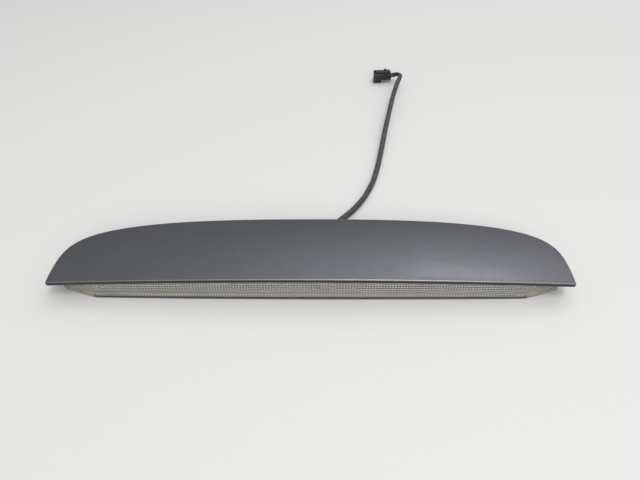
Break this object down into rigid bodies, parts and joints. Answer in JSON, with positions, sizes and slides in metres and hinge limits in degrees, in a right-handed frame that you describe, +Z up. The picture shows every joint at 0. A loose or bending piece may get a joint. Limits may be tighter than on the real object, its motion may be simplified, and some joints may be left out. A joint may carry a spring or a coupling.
{
  "type": "third brake light",
  "caption": "High-level brake light: a painted cover over a light box with a clear lens along its straight edge, and a sleeved cable ending in a latching two-way connector.",
  "frame": {"origin": "under the middle of the lamp's box, on the surface that it stands on; the cable and connector are left out of that box", "axes": "+X along the lamp from tip to tip, +Y from the lens towards the far edge and the cable, +Z up through the cover"},
  "size_m": [0.442, 0.3699, 0.0262],
  "materials": {
    "cover_paint": "slate grey metallic paint under gloss lacquer, on moulded plastic",
    "lens_clear": "clear acrylic, slightly yellowed",
    "sealant": "black sealant",
    "housing_black": "fine-grained moulding",
    "mirror_coat": "vacuum-metallised plastic",
    "board_green": "solder mask",
    "led_amber": "clear epoxy over phosphor",
    "component_black": "moulded epoxy",
    "block_white": "moulded nylon",
    "wire_red": "PVC insulation",
    "wire_black": "PVC insulation",
    "screw_steel": "zinc plated",
    "insert_brass": "machined",
    "foam_black": "closed-cell foam",
    "membrane_white": "breathable membrane",
    "grommet_rubber": "moulded rubber",
    "cable_sleeve": "soft PVC sleeve, slightly glossy",
    "connector_black": "glass-filled nylon",
    "seal_grey": "silicone",
    "contact_brass": "tinned"
  },
  "bodies": {
    "lamp": {"cover_panel": "cover_paint", "outer_lens": "lens_clear", "lens_seal": "sealant", "lamp_housing": "housing_black", "reflector": "mirror_coat", "circuit_board": "board_green", "diode": "component_black", "terminal_block": "block_white", "wire_positive": "wire_red", "wire_negative": "wire_black", "insert_left": "insert_brass", "insert_right": "insert_brass", "gasket_left": "foam_black", "gasket_right": "foam_black", "gasket_front": "foam_black", "vent_patch": "membrane_white", "cable_grommet": "grommet_rubber", "cable": "cable_sleeve", "connector_housing": "connector_black", "wire_seal": "seal_grey", "terminal_1": "contact_brass", "terminal_2": "contact_brass", "led_1": "led_amber", "led_2": "led_amber", "led_3": "led_amber", "led_4": "led_amber", "led_5": "led_amber", "led_6": "led_amber", "led_7": "led_amber", "led_8": "led_amber", "led_9": "led_amber", "led_10": "led_amber", "led_11": "led_amber", "led_12": "led_amber", "resistor_1": "component_black", "cover_screw_1": "screw_steel", "resistor_2": "component_black", "cover_screw_2": "screw_steel", "resistor_3": "component_black", "cover_screw_3": "screw_steel", "resistor_4": "component_black", "cover_screw_4": "screw_steel", "board_screw_1": "screw_steel", "board_screw_2": "screw_steel", "board_screw_3": "screw_steel"},
    "release_lever": {"release_lever": "connector_black"},
    "terminal_lock": {"terminal_lock": "connector_black"}
  },
  "joints": [
    {"name": "release_lever_rock", "type": "hinge", "parent": "lamp", "child": "release_lever", "pos_m": [0.092, 0.3222, 0.0137], "axis": [0, 1, 0], "range_deg": [0, 6], "stiffness_Nm_per_rad": 0.02},
    {"name": "terminal_lock_slide", "type": "slide", "parent": "lamp", "child": "terminal_lock", "axis": [0, -1, 0], "range_m": [0, 0.0018]}
  ]
}
